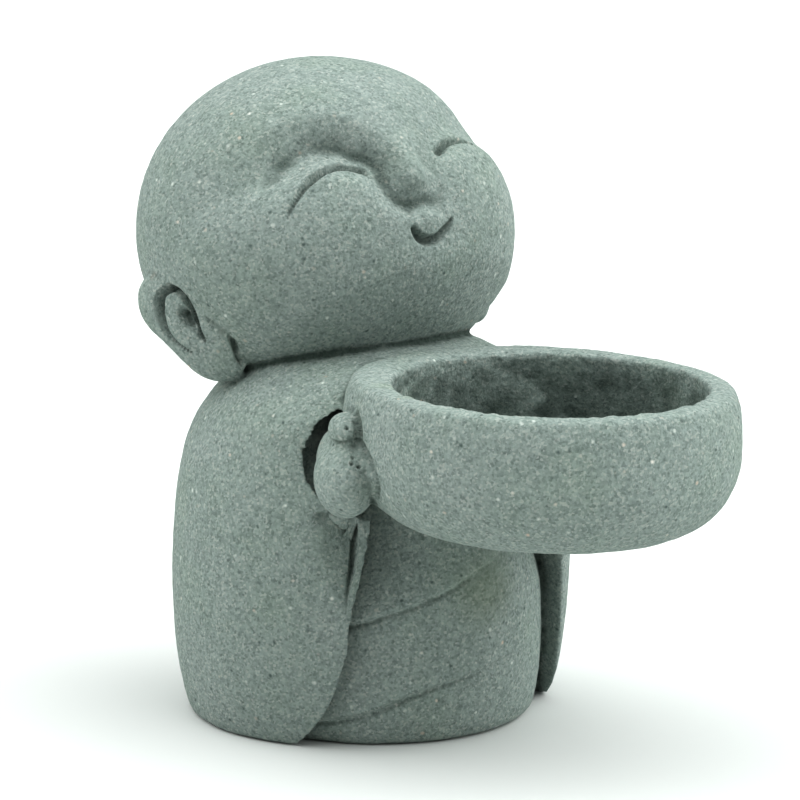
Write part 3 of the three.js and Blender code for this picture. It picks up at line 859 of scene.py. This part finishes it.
# Moss on the belly and by the bowl's rim, a reddish fleck and a rusty one: middle in mm, radius in mm, colour
# and strength
stains = [((1, -34, 29), 9, "#6f7a5c", 0.3), ((-26, -36, 66), 5, "#8c9868", 0.35),
          ((-15.7, -29.5, 27.1), 0.7, "#8a4a42", 0.7), ((-38, 19.5, 82.5), 1.6, "#b58a68", 0.3),
          ((-28, -46, 67), 4, "#8c9868", 0.25)]
for middle, radius, hue, strength in stains:
    away = add(tree, "ShaderNodeVectorMath", {0: stirred, 1: tuple(MM * v for v in middle)},
               operation="DISTANCE")
    patch = add(tree, "ShaderNodeMapRange", {"Value": away.outputs["Value"], "From Min": 0.3 * radius * MM,
                                             "From Max": radius * MM, "To Min": strength, "To Max": 0})
    colour = add(tree, "ShaderNodeMix",
                 {"Factor": patch.outputs["Result"], "A": colour.outputs["Result"], "B": hue},
                 data_type="RGBA")
tree.links.new(colour.outputs["Result"], shader.inputs["Base Color"])
print("stains:", len(stains))

# %% The sandy feel
SAND = 0.75 * MM                # width of the sand's bumps
PORE = 1.8 * MM                 # width of the pores
RELIEF = 0.5 * MM               # how deep they look

sand = add(tree, "ShaderNodeTexNoise", {"Vector": place, "Scale": 1 / SAND, "Detail": 4, "Roughness": 0.75})
pores = add(tree, "ShaderNodeTexNoise", {"Vector": place, "Scale": 1 / PORE, "Detail": 2, "Roughness": 0.5})
relief = add(tree, "ShaderNodeMath", {0: pores.outputs["Fac"], 1: 1.2, 2: sand.outputs["Fac"]},
             operation="MULTIPLY_ADD")
feel = add(tree, "ShaderNodeBump", {"Height": relief.outputs["Value"], "Strength": 0.75, "Distance": RELIEF})
tree.links.new(feel.outputs["Normal"], shader.inputs["Normal"])
shader.inputs["Roughness"].default_value = 0.9
shader.inputs["Specular IOR Level"].default_value = 0.3
statue.data.materials.append(stone)
print("stone:", len(tree.nodes), "nodes")

# %% [markdown]
# ## Placing the piece
#
# The statue rides on the model's one body and takes the place of the faceted solid.

# %% Frame calls
statue.name = "jizo_figure"
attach(statue, "root")
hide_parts("jizo_statue")
print("placed:", statue.name)

# %% [markdown]
# ## Floor, light and camera
#
# A pale floor runs far back. The light is that of a small studio: a wide soft lamp high on either side of the
# figure, as the camera sees it, the right one stronger, and a weak roof. Area lights would do, but one sky
# that is bright in three places gives the same softness with no edges to the lamps. The view's gamma raises
# the picture's contrast a little, as a product photographer does. The camera stands where the photograph
# was taken from: a little above the bowl, to the figure's right, with a long lens.

# %% Floor
FLOOR_HALF = 4                  # metres
floor = bmesh.new()
bmesh.ops.create_grid(floor, x_segments=1, y_segments=1, size=FLOOR_HALF)
floor = as_object(floor, "floor")
paper = bpy.data.materials.new("white paper")
paper.use_nodes = True
matt = paper.node_tree.nodes["Principled BSDF"]
matt.inputs["Base Color"].default_value = linear("#d6d8d6")
matt.inputs["Roughness"].default_value = 0.9
floor.data.materials.append(paper)
print("floor:", 2 * FLOOR_HALF, "m wide")

# %% The lamps
world = bpy.data.worlds.new("two soft lamps and a roof")
world.use_nodes = True
sky = world.node_tree
towards = add(sky, "ShaderNodeTexCoord").outputs["Generated"]
# Where each light's middle is, how narrow it is, and how strong
lights = [((0, 0, 1), 3, 0.6), ((0.557, -0.435, 0.707), 4, 4.4), ((-0.557, 0.435, 0.707), 4, 3.5)]
light = 0.02                    # what comes from everywhere else
for middle, narrow, strength in lights:
    nearness = add(sky, "ShaderNodeVectorMath", {0: towards, 1: middle}, operation="DOT_PRODUCT")
    same_side = add(sky, "ShaderNodeMath", {0: nearness.outputs["Value"], 1: 0}, operation="MAXIMUM")
    lobe = add(sky, "ShaderNodeMath", {0: same_side.outputs["Value"], 1: narrow}, operation="POWER")
    light = add(sky, "ShaderNodeMath", {0: lobe.outputs["Value"], 1: strength, 2: light},
                operation="MULTIPLY_ADD").outputs["Value"]
sky.nodes["Background"].inputs["Color"].default_value = linear("#f6f8f8")
sky.links.new(light, sky.nodes["Background"].inputs["Strength"])
bpy.context.scene.world = world
bpy.context.scene.view_settings.view_transform = "Standard"
bpy.context.scene.view_settings.gamma = 0.78
print("soft lights in the sky:", len(lights))

# %% Camera
AZIMUTH, ELEVATION, ROLL = math.radians(-38), math.radians(11.8), math.radians(1.06)
DISTANCE, AIM_HEIGHT, AIM_SIDE = 0.7, 0.05793, 0.00462
FOCAL_PIXELS, FRAME_PIXELS = 3755.9, 800
SENSOR = 36                     # mm

right = Vector((math.cos(AZIMUTH), math.sin(AZIMUTH), 0))
ahead = -Vector((math.sin(AZIMUTH) * math.cos(ELEVATION), -math.cos(AZIMUTH) * math.cos(ELEVATION),
                 math.sin(ELEVATION)))
up = right.cross(ahead)
stand = right * AIM_SIDE + Vector((0, 0, AIM_HEIGHT)) - ahead * DISTANCE
tilted = math.cos(ROLL) * right + math.sin(ROLL) * up
lens = bpy.data.cameras.new("camera")
lens.sensor_width = SENSOR
lens.lens = FOCAL_PIXELS * SENSOR / FRAME_PIXELS
lens.clip_start = 0.01
camera = bpy.data.objects.new("camera", lens)
turn = Matrix((tilted, tilted.cross(ahead), -ahead)).transposed().to_4x4()
camera.matrix_world = Matrix.Translation(stand) @ turn
bpy.context.collection.objects.link(camera)
bpy.context.scene.camera = camera
print("camera:", DISTANCE, "m away, lens", round(lens.lens), "mm")
